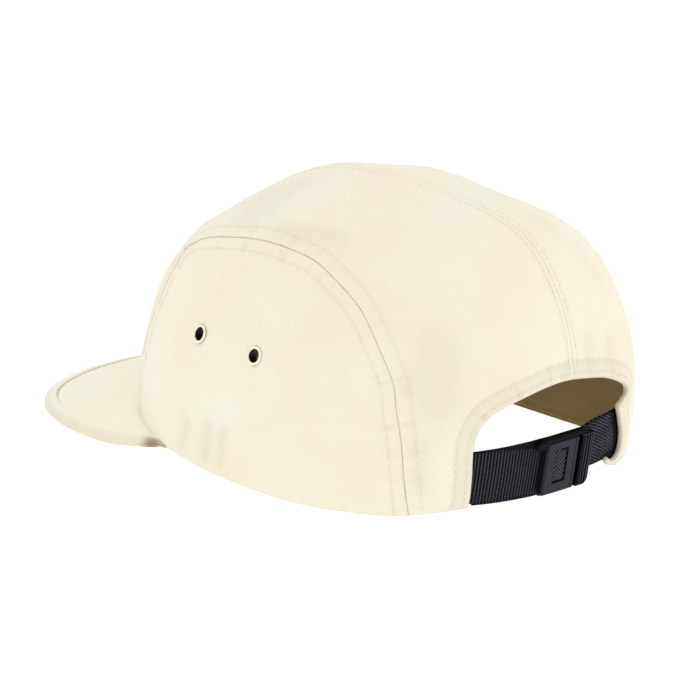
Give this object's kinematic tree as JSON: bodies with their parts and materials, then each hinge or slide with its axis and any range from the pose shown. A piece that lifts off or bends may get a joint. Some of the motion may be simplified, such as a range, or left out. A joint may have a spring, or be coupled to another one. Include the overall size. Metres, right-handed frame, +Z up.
{
  "type": "five panel cap",
  "caption": "Low cotton cap with a wide flat peak, side eyelets, an arched back opening and a webbing strap with a plastic clip buckle.",
  "frame": {"origin": "middle of the cap's bounding box in plan, on the surface that the cap stands on", "axes": "+Z up; the peak points to -Y, the strap opening to +Y, and the wearer's left is +X"},
  "size_m": [0.158, 0.2492, 0.1092],
  "materials": {
    "canvas": "matte cream cotton twill",
    "peak_canvas": "matte cream cotton twill over a stiff board",
    "lining": "matte olive brown cotton tape",
    "webbing": "black ribbed nylon webbing",
    "buckle_plastic": "satin black moulding",
    "eyelet_enamel": "cream enamel"
  },
  "bodies": {
    "root": {"front_panel": "canvas", "side_panel_left": "canvas", "side_panel_right": "canvas", "back_panel_left": "canvas", "back_panel_right": "canvas", "peak": "peak_canvas", "sweatband": "lining", "strap_left": "webbing", "strap_right": "webbing", "buckle_frame": "buckle_plastic", "buckle_lever": "buckle_plastic", "eyelet_left_front": "eyelet_enamel", "eyelet_left_rear": "eyelet_enamel", "eyelet_right_front": "eyelet_enamel", "eyelet_right_rear": "eyelet_enamel"}
  },
  "joints": []
}
